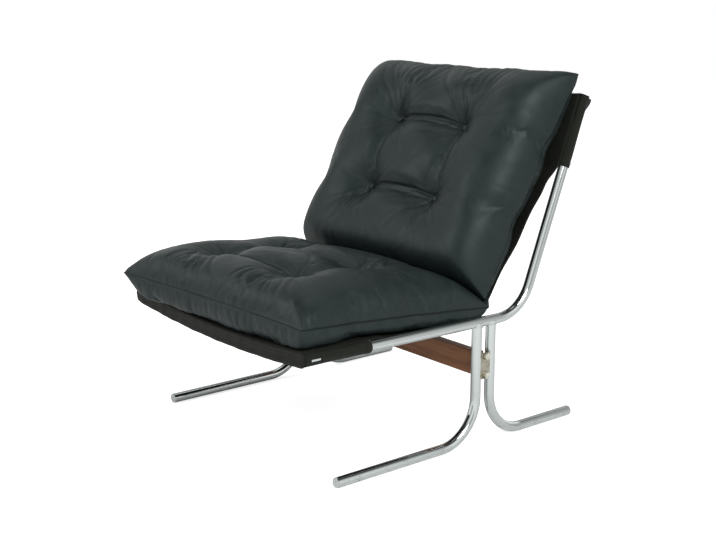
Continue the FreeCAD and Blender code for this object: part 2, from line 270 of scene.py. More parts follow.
NUMBER, AT = "NodeSocketFloat", ("Vector", "NodeSocketVector", None)
smears, given, out = pattern("smears", [AT, ("Scale", NUMBER, 12.0)], ["Mask"])
clouds = noise(smears, given["Vector"], given["Scale"], 5.0, 0.6)
smears.links.new(ramp(smears, clouds, 0.38, 0.72), out["Mask"])

pits, given, out = pattern("pits", [AT, ("Scale", NUMBER, 300.0)], ["Mask"])
specks = noise(pits, given["Vector"], given["Scale"], 2.0)
patches = noise(pits, given["Vector"], maths(pits, "DIVIDE", given["Scale"], 9.0), 2.0)
pitted = maths(pits, "MULTIPLY", ramp(pits, specks, 0.56, 0.66), ramp(pits, patches, 0.45, 0.65))
pits.links.new(pitted, out["Mask"])

hide, given, out = pattern("hide_grain", [AT, ("Pebble", NUMBER, 650.0)], ["Height", "Tone"])
pebbles = add(hide, "ShaderNodeTexVoronoi", {"Vector": given["Vector"], "Scale": given["Pebble"]},
              feature="SMOOTH_F1").outputs["Distance"]
pores = noise(hide, given["Vector"], maths(hide, "MULTIPLY", given["Pebble"], 0.35), 4.0)
domes, pricks = maths(hide, "MULTIPLY", pebbles, -0.7), maths(hide, "MULTIPLY", pores, 0.5)
hide.links.new(maths(hide, "ADD", domes, pricks), out["Height"])
hide.links.new(ramp(hide, noise(hide, given["Vector"], 22.0, 6.0, 0.65), 0.30, 0.72), out["Tone"])

weave, given, out = pattern("plain_weave", [AT, ("Threads", NUMBER, 900.0)], ["Height", "Tone"])
axes = add(weave, "ShaderNodeSeparateXYZ", {0: given["Vector"]}).outputs
turns = maths(weave, "MULTIPLY", given["Threads"], math.pi)
warp = maths(weave, "SINE", maths(weave, "MULTIPLY", axes[0], turns))
weft = maths(weave, "SINE", maths(weave, "MULTIPLY", axes[1], turns))
weave.links.new(maths(weave, "ABSOLUTE", maths(weave, "MULTIPLY", warp, weft)), out["Height"])
weave.links.new(ramp(weave, noise(weave, given["Vector"], 60.0, 5.0, 0.7), 0.30, 0.70), out["Tone"])
print("patterns:", [group.name for group in bpy.data.node_groups])


# %% Material helpers
def finish(name, **values):
    """A material with one Principled shader, whose constant values sit on its own sockets."""
    made = bpy.data.materials.new(name)
    made.use_nodes = True
    shader = made.node_tree.nodes["Principled BSDF"]
    for socket, value in values.items():
        shader.inputs[socket.replace("_", " ")].default_value = value
    return made.node_tree, shader.inputs, made


def placed(tree, group, **inputs):
    """One copy of a shared pattern in a material."""
    return add(tree, "ShaderNodeGroup", inputs, node_tree=group).outputs


def between(tree, factor, first, second):
    """Colour that goes from the first to the second as factor goes from 0 to 1."""
    sockets = {0: factor, 6: first, 7: second}
    return add(tree, "ShaderNodeMix", sockets, data_type="RGBA").outputs[2]


def rgb(red, green, blue):
    return (red, green, blue, 1.0)


def bump(tree, inputs, height, depth, strength=1.0):
    """Turns a height pattern into the shader's normal; depth is in metres."""
    node = add(tree, "ShaderNodeBump", {"Height": height, "Distance": depth, "Strength": strength})
    tree.links.new(node.outputs[0], inputs["Normal"])


def coordinates(tree, output="Object"):
    return add(tree, "ShaderNodeTexCoord").outputs[output]


# %% [markdown]
# ### Chrome and zinc
# The tubes are bright chrome: almost a mirror, a little duller where hands and shoes have
# touched it, with a few pits close to the floor. The plates between the legs are dull, yellowish
# zinc, and the bolts through them a brighter copy of it that is partly painted highlight for
# their heads. All use the same two patterns, with other sizes.

# %% Metals
tree, inputs, chrome = finish("chromed_tube", Metallic=1.0)
where = coordinates(tree)
smear = placed(tree, smears, Vector=where, Scale=14.0)["Mask"]
low = ramp(tree, add(tree, "ShaderNodeSeparateXYZ", {0: where}).outputs[2], 0.02, 0.05, 1.0, 0.12)
pit = maths(tree, "MULTIPLY", placed(tree, pits, Vector=where, Scale=420.0)["Mask"], low)
bright, pitted = rgb(0.59, 0.63, 0.62), rgb(0.20, 0.18, 0.15)
tree.links.new(between(tree, pit, bright, pitted), inputs["Base Color"])
dull = ramp(tree, smear, 0.0, 1.0, 0.055, 0.13)
tree.links.new(maths(tree, "ADD", dull, maths(tree, "MULTIPLY", pit, 0.35)), inputs["Roughness"])


def zinc_like(name, clean, stained):
    """Dull plated steel with stains and fine pits."""
    tree, inputs, made = finish(name, Metallic=1.0)
    where = coordinates(tree)
    smear = placed(tree, smears, Vector=where, Scale=90.0)["Mask"]
    pit = placed(tree, pits, Vector=where, Scale=700.0)["Mask"]
    plain = between(tree, smear, clean, stained)
    tree.links.new(between(tree, pit, plain, rgb(0.10, 0.08, 0.05)), inputs["Base Color"])
    tree.links.new(ramp(tree, smear, 0.0, 1.0, 0.30, 0.48), inputs["Roughness"])
    bump(tree, inputs, pit, -0.0002)
    return made


zinc = zinc_like("zinc_steel", rgb(0.44, 0.42, 0.34), rgb(0.29, 0.27, 0.20))
# The bolts' brighter zinc is partly painted highlight for their heads.
painted_highlight_zinc = zinc_like("bolt_zinc_painted_highlight", rgb(0.74, 0.73, 0.66), rgb(0.55, 0.53, 0.44))
print("metals:", chrome.name, zinc.name, painted_highlight_zinc.name)

# %% [markdown]
# ### Wood
# The stretcher is a brown hardwood board with its grain along X. Noise that is stretched along
# X gives the broad streaks, and a finer copy of it gives the open pores.

# %% Wood
tree, inputs, wood = finish("brown_wood", Specular_IOR_Level=0.35)
where = coordinates(tree)
streaks_at, pores_at = (
    add(tree, "ShaderNodeMapping", {"Vector": where, "Scale": scale}).outputs[0]
    for scale in ((1.6, 34.0, 34.0), (9.0, 420.0, 420.0)))
streak = noise(tree, streaks_at, 1.0, 6.0, 0.6)
pore = ramp(tree, noise(tree, pores_at, 1.0, 3.0, 0.6), 0.55, 0.72)
light_wood, dark_wood = rgb(0.30, 0.125, 0.050), rgb(0.135, 0.050, 0.020)
board = between(tree, ramp(tree, streak, 0.30, 0.70), light_wood, dark_wood)
dark = maths(tree, "MULTIPLY", pore, 0.6)
tree.links.new(between(tree, dark, board, rgb(0.055, 0.021, 0.010)), inputs["Base Color"])
tree.links.new(ramp(tree, streak, 0.2, 0.8, 0.42, 0.58), inputs["Roughness"])
bump(tree, inputs, pore, -0.0003)
print("wood:", wood.name)

# %% [markdown]
# ### Cloth, thread and leather
# The sling is a stout, almost black canvas, so its weave runs along its own width and length,
# which the UV map holds in metres. The leather is near black with a hint of green-blue. Its
# cushions carry two attributes, the distance from the seam and the depth of the creases, so
# that the seam shows as a fine line and the folds get a painted shade that darkens them a
# little, the more the deeper they are.

# %% Cloth and thread
def canvas_like(name, first, second, threads, depth):
    """Woven cloth that reads its UV map in metres."""
    tree, inputs, made = finish(name, Specular_IOR_Level=0.21, Specular_Tint=rgb(0.93, 1.0, 0.88),
                                Sheen_Weight=0.015, Sheen_Roughness=0.5)
    cloth = placed(tree, weave, Vector=coordinates(tree, "UV"), Threads=threads)
    tree.links.new(between(tree, cloth["Tone"], first, second), inputs["Base Color"])
    tree.links.new(ramp(tree, cloth["Height"], 0.0, 1.0, 0.66, 0.52), inputs["Roughness"])
    bump(tree, inputs, cloth["Height"], depth)
    return made


canvas = canvas_like("dark_canvas", rgb(0.0046, 0.0054, 0.0038), rgb(0.0074, 0.0084, 0.0060),
                     700.0, 0.0004)
thread = canvas_like("black_thread", rgb(0.035, 0.032, 0.030), rgb(0.060, 0.055, 0.050),
                     1800.0, 0.0002)


# %% Leather
def leather_like(name, with_seam_and_shade):
    """Soft dark leather; the flag adds the seam line and painted shade in a cushion's folds."""
    tree, inputs, made = finish(name, Specular_IOR_Level=0.24, Specular_Tint=rgb(0.84, 1.0, 0.97))
    grain = placed(tree, hide, Vector=coordinates(tree), Pebble=620.0)
    colour = between(tree, grain["Tone"], rgb(0.0110, 0.0166, 0.0164), rgb(0.0155, 0.0216, 0.0211))
    height = maths(tree, "MULTIPLY", grain["Height"], 0.00022)
    if with_seam_and_shade:
        seam = add(tree, "ShaderNodeAttribute", attribute_name="seam").outputs["Fac"]
        fold = add(tree, "ShaderNodeAttribute", attribute_name="fold").outputs["Fac"]
        line = ramp(tree, seam, 0.0006, 0.0022, 1.0, 0.0)
        # Painted shade: the folds darken towards near black as the creases deepen.
        shade = maths(tree, "MULTIPLY", fold, 0.55)
        colour = between(tree, shade, colour, rgb(0.0045, 0.0060, 0.0060))
        colour = between(tree, line, colour, rgb(0.0025, 0.0030, 0.0030))
        height = maths(tree, "SUBTRACT", height, maths(tree, "MULTIPLY", line, 0.0012))
    tree.links.new(colour, inputs["Base Color"])
    tree.links.new(ramp(tree, grain["Tone"], 0.0, 1.0, 0.43, 0.53), inputs["Roughness"])
    bump(tree, inputs, height, 1.0, 0.8)
    return made


cover_leather = leather_like("dark_leather", True)
button_leather = leather_like("button_leather", False)
print("materials:", [m.name for m in bpy.data.materials])

# %% [markdown]
# ## Hard pieces that stay as they are
# The tubes, welds, plugs, plates and the stretcher already have their true shape, so each of
# them only changes its material.

# %% Give the hard pieces their finish
FINISHES = {"chromed_tube": chrome, "zinc_steel": zinc, "brown_wood": wood}
slots = {part["node"]: part["material_slot"] for part in frame["record"]["subparts"]}
for name, node in nodes.items():
    if slots[name] in FINISHES:
        # The bolts take the brighter zinc, which is partly painted highlight.
        look = painted_highlight_zinc if name == "stretcher_bolts" else FINISHES[slots[name]]
        node.data.materials.clear()
        node.data.materials.append(look)
print("kept:", sorted(name for name in nodes if slots[name] in FINISHES))

# %% [markdown]
# ## The sling
# The cushions lie in a hammock: one panel of canvas that hangs from the front ends of the rails
# to the tops of the uprights, and sags between the two sides. Seen from the side it is two
# straight runs and one bend, so the path is worked out as such and then read by its length.
# Across the chair each section sags as a parabola. The panel keeps its full width along the seat
# and at the top sleeves, and draws in along the back between them.

# %% Path of the sling
RAIL_FRONT, RAIL_CORNER, RAIL_TOP = np.array(
    [[-0.3719, 0.2722], [0.1978, 0.2659], [0.3702, 0.7137]])
HALF_TRACK, TUBE_R = 0.3125, 0.011
LIFT, SLEEVE_LONG, SLEEVE_PAST = 0.014, 0.157, 0.003
SLING_CORNER, SLING_BEND = np.array([0.0744, 0.2593]), 0.100
SLING_HALF, SLING_DRAW, SAG_AT_ENDS, SAG_MORE = 0.312, 0.008, 0.016, 0.012
forward = unit(RAIL_FRONT - RAIL_CORNER)
upward = unit(RAIL_TOP - RAIL_CORNER)


def turned(vector):
    """A side-view vector turned a quarter to the left."""
    return np.stack([-vector[..., 1], vector[..., 0]], axis=-1)


sling_front = RAIL_FRONT + forward * SLEEVE_PAST - turned(forward) * LIFT
sling_end = RAIL_TOP + upward * SLEEVE_PAST + turned(upward) * LIFT
front_inner, top_inner = sling_front - forward * SLEEVE_LONG, sling_end - upward * SLEEVE_LONG
to_front, to_top = unit(front_inner - SLING_CORNER), unit(top_inner - SLING_CORNER)
half_angle = math.acos(float(to_front @ to_top)) / 2
bend_middle = SLING_CORNER + unit(to_front + to_top) * SLING_BEND / math.sin(half_angle)
swing = np.linspace(half_angle - math.pi / 2, math.pi / 2 - half_angle, 40)[:, None]
spoke = unit(SLING_CORNER - bend_middle) * SLING_BEND
bend = bend_middle + spoke * np.cos(swing) + turned(spoke) * np.sin(swing)
sling_points = np.concatenate([
    np.linspace(sling_front, front_inner, 30),
    np.linspace(front_inner, bend[0], 40)[1:],
    bend[1:],
    np.linspace(bend[-1], top_inner, 50)[1:],
    np.linspace(top_inner, sling_end, 30)[1:]])
sling_run = lengths(sling_points)
SLING_LONG, SEAT_RUN = float(sling_run[-1]), 0.40
print("sling length", round(SLING_LONG, 3))


# %% The sling as a function of its length and width
def step(value, low, high):
    """Smooth step from 0 to 1 while value goes from low to high."""
    t = np.clip((value - low) / (high - low), 0, 1)
    return t * t * (3 - 2 * t)


def bell(distance, width):
    """1 at no distance, falling to nothing over about twice the width."""
    return np.exp(-(distance / width) ** 2)


def sling_half(run):
    """Half width: full along the seat and on the top sleeves, drawn in between them."""
    free = step(run, SEAT_RUN, SEAT_RUN + 0.08)
    free = free * step(SLING_LONG - run, SLEEVE_LONG - 0.015, SLEEVE_LONG + 0.05)
    return SLING_HALF - SLING_DRAW * free


def sling_sag(run):
    """How far the middle hangs below the edges, most in the bend."""
    return SAG_AT_ENDS + SAG_MORE * np.sin(math.pi * run / SLING_LONG)


def sling_normal(run):
    """Side-view normal of the path, towards the sitter."""
    here = np.stack([np.interp(run + d, sling_run, sling_points[:, k])
                     for d in (-0.004, 0.004) for k in (0, 1)], axis=-1)
    return turned(unit(here[..., 2:] - here[..., :2]))


def sling_at(run, share, lift=0.0):
    """Point at a length along the sling and a share of its half width, from -1 to 1."""
    middle = np.stack([np.interp(run, sling_run, sling_points[:, k]) for k in (0, 1)], axis=-1)
    drop = lift - sling_sag(run) * (1 - share ** 2)
    side_view = middle + sling_normal(run) * drop[..., None]
    return np.concatenate([(share * sling_half(run))[..., None], side_view], axis=-1)


# %% [markdown]
# ### The panel
# Taut cloth is never quite flat: it ripples where it is pulled from the sleeves, and its free
# edges curl a little. One faint wave lies near the sleeves' inner ends, a second all over, and a
# third bends the edges. Where the panel is sewn to the sleeves it is plain, and its edges lie a
# little lower there and along the seat. A Solidify modifier gives the cloth its thickness.

# %% Panel
CLOTH_THICK, PULL_REACH, EDGE_DROP = 0.0018, 0.07, 0.0020
run, share = parameters(np.linspace(0, SLING_LONG, 190), np.linspace(-1, 1, 110))
pull = bell(run - SLEEVE_LONG, PULL_REACH) + bell(SLING_LONG - SLEEVE_LONG - run, PULL_REACH)
ripple = 0.0012 * pull * np.sin(run * 95 + 9 * np.abs(share)) * (0.3 + np.abs(share) ** 3)
ripple += 0.0008 * np.sin(run * 31 + 4.0) * np.cos(share * 5 + 1.0)
curl = 0.0018 * np.abs(share) ** 14 * np.sin(run * 47) * (1 - pull)
sewn = 1 - step(np.minimum(run, SLING_LONG - run), SLEEVE_LONG - 0.01, SLEEVE_LONG + 0.03)
laid = np.maximum(sewn, 1 - step(run, SEAT_RUN - 0.02, SEAT_RUN + 0.04))
lift = (ripple + curl) * (1 - sewn) + 0.001 - EDGE_DROP * laid * np.abs(share) ** 12
points = sling_at(run, share, lift)
panel = piece("sling_cloth", points, quads(numbered(run.shape)), canvas, "frame",
              uv=np.stack([share * 0.3, run], axis=-1))
wall = panel.modifiers.new("cloth", "SOLIDIFY")
wall.thickness = CLOTH_THICK
wall.offset = 0.0
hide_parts("sling_panel")

# %% [markdown]
# ### Sleeves
# At each corner the cloth is sewn into a sleeve that slips over the tube's end. A sleeve is a
# ring carried along the tube: a little loose, with soft lengthwise folds, and thicker over the
# last centimetre where its hem is turned in. The front sleeves have a short slot in their outer
# side. The top sleeves are pinched into a flat ear to the rear.

# %% Sleeves
def sleeve(name, tip, outward, rear, side, slot=None, ear=0.0):
    """Ring of radius r(length, angle) carried along a tube's end, from the tip inwards."""
    round_tube = np.linspace(-math.pi, math.pi, 97)[:-1]
    along, angle = parameters(np.linspace(0, SLEEVE_LONG, 90), round_tube)
    loose = 0.0003 * np.sin(angle * 3 + along * 40) + 0.0003 * np.sin(angle * 5 - along * 23 + 1.3)
    hem = 0.0007 * step(along, SLEEVE_LONG - 0.0135, SLEEVE_LONG - 0.0115)
    mouth = -0.0006 * step(along, SLEEVE_LONG - 0.0014, SLEEVE_LONG)
    pinch = ear * bell(angle, 0.24) * (1 - step(along, 0.004, 0.040))
    radius = TUBE_R + 0.0014 + loose * step(SLEEVE_LONG - along, 0, 0.03) + hem + mouth + pinch
    across = (np.cos(angle)[..., None] * np.array([0, *rear])
              + np.sin(angle)[..., None] * np.array([side, 0, 0]))
    points = np.array([side * HALF_TRACK, *tip]) - along[..., None] * np.array([0, *outward])
    points = points + across * radius[..., None]
    index = numbered(along.shape)
    faces = quads(index, close_columns=True)
    if slot is not None:
        cut = (along > slot[0]) & (along < slot[1]) & (np.abs(angle - math.pi / 2) < 0.24)
        faces = faces[~cut[:-1]]
    made = piece(name, points, faces if side > 0 else faces[..., ::-1], canvas, "frame",
                 uv=np.stack([angle * radius, along], axis=-1))
    wall = made.modifiers.new("cloth", "SOLIDIFY")
    wall.thickness = 0.0012
    wall.offset = 1.0
    return made


sleeves = []
for word, side in (("right", 1), ("left", -1)):
    front = sleeve(word + "_front_cloth", RAIL_FRONT + forward * SLEEVE_PAST, forward,
                   -turned(forward), side, slot=(0.012, 0.034))
    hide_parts(word + "_front_sleeve")
    top = sleeve(word + "_top_cloth", RAIL_TOP + upward * SLEEVE_PAST, upward,
                 -turned(upward), side, ear=0.0135)
    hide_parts(word + "_top_sleeve")
    sleeves += [front, top]
print("sleeves:", [made.name for made in sleeves])

# %% [markdown]
# ### Hems
# A folded strip closes the sling at the front and at the top. Its section is a rounded flat
# rectangle, carried across the chair along the same sag, and it waves a little, as sewn cloth
# does.

# %% Hem bands
BAND_HALF, BAND_HIGH, BAND_THICK = 0.325, 0.030, 0.0043


def band(name, run_at, outward, node):
    """Superellipse section carried along the sag at one end of the sling."""
    share, turn = parameters(np.linspace(-1, 1, 150), circle(40))
    cosine, sine = np.cos(turn), np.sin(turn)
    thick = np.sign(cosine) * np.abs(cosine) ** 0.6 * BAND_THICK / 2
    high = np.sign(sine) * np.abs(sine) ** 0.35 * BAND_HIGH / 2
    wave = 0.0007 * np.sin(share * 21 + 0.6) * (0.5 - high / BAND_HIGH)
    wave = wave + 0.0004 * np.sin(share * 47)
    blunt = 1 - np.abs(share) ** 90
    run = np.full_like(share, run_at)
    base = sling_at(run, share, 0.002 - BAND_HIGH / 2 + high * blunt)
    base[..., 0] = share * BAND_HALF
    offset = BAND_THICK / 2 - 0.0015 + thick * blunt + wave
    points = base + offset[..., None] * np.array([0, *outward])
    made = piece(name, points, quads(numbered(share.shape), close_columns=True), canvas, "frame",
                 uv=np.stack([share * BAND_HALF, turn * 0.011], axis=-1))
    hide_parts(node)
    return made


hems = [band("front_hem", 0.0, forward, "front_band"),
        band("top_hem", SLING_LONG, upward, "top_band")]
print("hems:", [made.name for made in hems])

# %% [markdown]
# ### Stitches
# Rows of stitches hold the hems and close the sleeves. One stitch is a small spindle: over a
# length from -1 to 1, its radius goes as the root of 1 - length ** 4. Every stitch of a row is
# that spindle, placed along the row's line by one sum of arrays.

# %% Stitch rows
def stitches(name, line, normals, pitch=0.0042, gauge=0.00042):
    """Spindles along a line of points, each lying along the line and half sunk in the cloth."""
    run = lengths(line)
    spots = np.arange(pitch / 2, run[-1], pitch)
    centre, before, after, up = (
        np.stack([np.interp(at, run, values[:, k]) for k in range(3)], axis=-1)
        for at, values in ((spots, line), (spots - 0.001, line), (spots + 0.001, line),
                           (spots, normals)))
    up, ahead = unit(up), unit(after - before)
    side = np.cross(up, ahead)
    length, turn = parameters(np.linspace(-1, 1, 6), circle(6))
    thick = gauge * np.sqrt(np.maximum(0.02, 1 - length ** 4))
    flat = np.stack([length * pitch * 0.40, thick * np.cos(turn),
                     thick * np.sin(turn) + gauge * 0.3], axis=-1)
    points = centre[:, None, None] + flat[None, ..., :1] * ahead[:, None, None]
    points = points + flat[None, ..., 1:2] * side[:, None, None]
    points = points + flat[None, ..., 2:] * up[:, None, None]
    one = quads(numbered(length.shape), close_columns=True).reshape(-1, 4)
    faces = one[None] + length.size * np.arange(len(spots))[:, None, None]
    uv = np.broadcast_to(np.stack([length, turn], axis=-1) * 0.001, points.shape[:-1] + (2,))
    made = piece(name, points, faces, thread, "frame", uv=uv)
    return made


row = np.linspace(-0.985, 0.985, 300)
rows_made = []
for word, run_at, outward in (("front", 0.0, forward), ("top", SLING_LONG, upward)):
    for place, drop in (("upper", 0.003), ("lower", 0.0255)):
        line = sling_at(np.full_like(row, run_at), row, 0.002 - drop)
        line[:, 0] = row * BAND_HALF
        line = line + np.array([0, *outward]) * (0.0003 + BAND_THICK)
        facing = np.broadcast_to(np.array([0, *outward]), line.shape)
        rows_made.append(stitches(word + "_hem_" + place + "_stitches", line, facing))
for word, side in (("right", 1), ("left", -1)):
    along = np.linspace(SLEEVE_LONG + 0.01, SLING_LONG - SLEEVE_LONG - 0.01, 300)
    edge = sling_at(along, np.full_like(along, side * 0.955), np.full_like(along, -0.0006))
    facing = np.concatenate([np.zeros((300, 1)), -sling_normal(along)], axis=1)
    rows_made.append(stitches(word + "_edge_stitches", edge, facing))
    for place, tip, outward in (("front", RAIL_FRONT, forward), ("top", RAIL_TOP, upward)):
        angle = np.linspace(-math.pi, math.pi, 80)
        ring = (np.cos(angle)[:, None] * np.array([0, *turned(outward)])
                + np.sin(angle)[:, None] * np.array([1, 0, 0]))
        hem_at = tip + outward * (SLEEVE_PAST - SLEEVE_LONG + 0.0085)
        line = np.array([side * HALF_TRACK, *hem_at]) + ring * (TUBE_R + 0.0033)
        rows_made.append(stitches(word + "_" + place + "_sleeve_stitches", line, ring))
print("stitch rows:", len(rows_made))

# %% [markdown]
# ## The cushions
# Each cushion is a knife-edged pillow: two leather panels sewn together round their rim, stuffed
# full, and pulled in by two rows of two buttons. The shape is built up in layers, as a sculptor
# would: first a blunt pillow, then the hollows round the buttons and the channels between them.
# A cloth solver then lets that form settle. The pleats that run out from each button and the
# puckers along the seam come last.
#
# Each cushion is a set of values, in metres or as shares of the half width and half length:
# - first, last: side-view ends of the seam plane; half: half width; skew: shift and turn of it
# - column, rows: where the buttons are; crown, tuft: height between them and at them
# - belly: depth of the lower panel; blunt, blunt_below: powers that make the sides steep
# - draw, bow, notch: how the rim bends in; bulge, pinch: sides and far corner of the lower panel
# - droop: how far the front may hang past the sling; past_from: where the corner passes its edge
# - pressed_end, press: the end that the other cushion leans on, and its slope
# - calm: the shares of the length over which that end loses its folds

# %% Sizes of the two cushions
SEAT = dict(first=(-0.3999, 0.330), last=(0.0841, 0.294), half=0.306, skew=(0.006, 0.070),
            column=0.128, rows=(-0.47, 0.18), crown=0.086, tuft=0.044, belly=0.072,
            blunt=(5.0, 5.0, 5.0), blunt_below=(16.0, 30.0, 9.0),
            draw=0.008, bow=(0.012, -0.008), notch=0.004, bulge=0.008, pinch=0.72,
            droop=0.004, past_from=0.17, pressed_end=1, press=0.95, calm=(0.60, 0.90), seed=11)
BACK = dict(first=(0.0981, 0.311), last=(0.3601, 0.762), half=0.306, skew=(0.0, 0.0),
            column=0.109, rows=(-0.33, 0.33), crown=0.103, tuft=0.061, belly=0.058,
            blunt=(11.0, 11.0, 4.5), blunt_below=(7.0, 7.0, 7.0),
            draw=0.004, bow=(-0.006, 0.008), notch=0.009, bulge=0.0, pinch=0.0,
            droop=0.0, past_from=1.0, pressed_end=-1, press=2.6, calm=(0.36, 0.66), seed=5)


# %% Even steps and soft limits
def round_off(share, first, last):
    """sqrt(1 - |share| ** power), with one power before the middle and one after it."""
    return np.sqrt(1 - np.abs(share) ** np.where(share < 0, first, last))


def even_shares(half, high, blunt, count):
    """Shares from -1 to 1 in even steps along the curve of half * share and high * round_off."""
    fine = np.sin(np.linspace(-math.pi / 2, math.pi / 2, 4001))
    curve = np.stack([half * fine, high * round_off(fine, *blunt)], axis=-1)
    run = lengths(curve)
    spaced = np.linspace(0, run[-1], count)
    return np.interp(spaced, run, fine), spaced


def softly_under(height, limit):
    """A height that never passes a limit and bends smoothly into it."""
    height, limit = np.maximum(height, 1e-5), np.maximum(limit, 1e-5)
    return (height ** -6 + limit ** -6) ** (-1 / 6)


# %% [markdown]
# ### Pillow, hollows and channels
# A share of the half width and a share of the half length run over each panel, in even steps
# along the surface, so that the blunt sides get as many points as the top. The height is a crown
# times a swell that falls to zero at the rim. From the crown come off the hollows at the
# buttons, which are sharp at their bottom, and the channels between them, which are round.

# %% Pillow
def pillow(c, count):
    """Places, heights and rim distances of one cushion's two panels."""
    first, last = np.array(c["first"]), np.array(c["last"])
    c["middle"], c["along"] = (first + last) / 2, unit(last - first)
    c["up"], c["long"] = turned(c["along"]), np.linalg.norm(last - first) / 2
    across, across_run = even_shares(c["half"], c["crown"], c["blunt"][:1] * 2, count[0])
    along, along_run = even_shares(c["long"], c["crown"], c["blunt"][1:], count[1])
    u, v = parameters(across, along)
    c["left"], c["near"] = parameters(across_run, along_run)
    c["rim"] = np.minimum(np.minimum(c["left"], c["left"].max() - c["left"]),
                          np.minimum(c["near"], c["near"].max() - c["near"]))
    notch = sum(bell((v - row) * c["long"], 0.030) for row in c["rows"])
    notch = notch * c["notch"] * np.abs(u) ** 6
    bow = np.where(v < 0, *c["bow"]) * (1 - u ** 2) * v ** 2
    x = u * (c["half"] - c["draw"] * (1 - v ** 2) - notch)
    s = v * (c["long"] - bow)
    c["swell"], c["swell_below"] = (round_off(u, blunt[0], blunt[0]) * round_off(v, *blunt[1:])
                                    for blunt in (c["blunt"], c["blunt_below"]))
    far_corner = step(-u, 0.70, 1.0) * step(-v, 0.78, 1.0)
    c["swell_below"] = c["swell_below"] * (1 - c["pinch"] * far_corner)
    c["x"], c["s"], c["u"], c["v"] = x, s, u, v
    c["tufts"] = [(side * c["column"], row * c["long"]) for row in c["rows"] for side in (-1, 1)]


def hollows(c, depth):
    """How far the buttons pull the panel down: pits, joined by channels, as one smooth maximum."""
    x, s, column = c["x"], c["s"], c["column"]
    low, high = (row * c["long"] for row in c["rows"])
    parts = [depth * np.exp(-(np.hypot(x - tx, s - ts) / 0.046) ** 1.15) for tx, ts in c["tufts"]]
    in_columns = step(column + 0.015 - np.abs(x), 0, 0.05)
    in_rows = step(s, low - 0.015, low + 0.03) * step(high + 0.015 - s, 0, 0.045)
    outward = np.maximum(np.abs(x) - column, 0)
    beyond = np.maximum(np.maximum(low - s, s - high), 0)
    for row in (low, high):
        parts.append(0.55 * depth * bell(s - row, 0.026) * in_columns)
        parts.append(0.22 * depth * bell(s - row, 0.024) * np.exp(-outward / 0.055)
                     * (outward > 0))
    lengthwise = bell(np.abs(x) - column, 0.026)
    parts.append(0.40 * depth * lengthwise * in_rows)
    parts.append(0.26 * depth * lengthwise * np.exp(-beyond / 0.06) * (beyond > 0))
    return sum(part ** 3 for part in parts) ** (1 / 3)


SLING_EDGE, LOWER_TUFT = 0.304, 0.020


def sling_height(c, x, s):
    """Height of the sling over the cushion's seam plane, with a small gap; mostly negative."""
    offset = sling_points - c["middle"]
    line, deep = offset @ c["along"], offset @ c["up"]
    sag = np.interp(s, line, sling_sag(sling_run)) * np.maximum(0, 1 - (x / SLING_EDGE) ** 2)
    ahead = c["droop"] * step(line[0] - s, -0.004, 0.020)
    gap = 0.0052 - 0.0028 * np.minimum(1, np.abs(x) / SLING_EDGE) ** 4
    beside = 0.0012 * step(np.abs(x), 0.300, 0.307)
    return np.interp(s, line, deep) + gap - sag - ahead - beside


def clear_of_sling(c, points):
    """The points, lifted onto the sling where they lie under it, but not past its edges."""
    x, offset = points[..., 0], points[..., 1:] - c["middle"]
    s = offset @ c["along"]
    short = np.maximum(0, sling_height(c, x, s) - offset @ c["up"])
    past = step(np.abs(x), 0.298, 0.306) * step(s, c["past_from"], c["past_from"] + 0.03)
    return points + (short * (1 - past))[..., None] * np.array([0, *c["up"]])


def heights(c):
    """Heights of the upper panel over the seam plane and of the lower one under it."""
    press = c["press"] * (1 - c["v"] * c["pressed_end"]) * c["long"]
    upper = softly_under(c["swell"] * (c["crown"] - hollows(c, c["crown"] - c["tuft"])), press)
    lower = softly_under(c["swell_below"] * (c["belly"] - hollows(c, LOWER_TUFT)),
                         -sling_height(c, c["x"], c["s"]))
    on_rim = c["swell"] == 0
    return np.where(on_rim, 0, upper), np.where(on_rim, 0, lower)


# %% [markdown]
# ### Creases
# Leather that is drawn to a button folds into narrow pleats. Each pleat is a ray from its
# button: deep near it, wider and shallower further out. Along the seam the stitches gather the
# leather into short puckers that stand square to it. Between two buttons of a row the leather
# doubles over into two fine creases. All are depths, pushed in along the surface's normal.

# %% Pleats and puckers
def ray(c, tuft, turn, width, spread, fade):
    """One pleat: a groove from a button in one direction, wider and shallower further out."""
    dx, ds = c["x"] - tuft[0], c["s"] - tuft[1]
    radius = np.hypot(dx, ds)
    ahead = dx * math.cos(turn) + ds * math.sin(turn)
    aside = ds * math.cos(turn) - dx * math.sin(turn) + 0.004 * np.sin(radius * 60 + turn * 7)
    groove = bell(aside, width + spread * radius) * np.exp(-radius / fade)
    return groove * (ahead > 0) * (1 - np.exp(-radius / 0.012))


def pleats(c, random):
    """Depth of the rays that run out from every button, with longer ones towards the nearer end."""
    depth = np.zeros_like(c["x"])
    for tuft in c["tufts"]:
        for turn in (np.arange(23) + random.uniform(-0.4, 0.4, 23)) * 2 * math.pi / 23:
            fade = random.uniform(0.022, 0.080)
            depth += random.uniform(0.0015, 0.0044) * ray(c, tuft, turn, 0.0018, 0.036, fade)
        to_end = math.copysign(math.pi / 2, tuft[1] - sum(c["rows"]) / 2 * c["long"])
        for turn in to_end + np.linspace(-0.75, 0.75, 9) + random.uniform(-0.07, 0.07, 9):
            fade = random.uniform(0.07, 0.15)
            depth += random.uniform(0.0014, 0.0036) * ray(c, tuft, turn, 0.0028, 0.020, fade)
    return depth


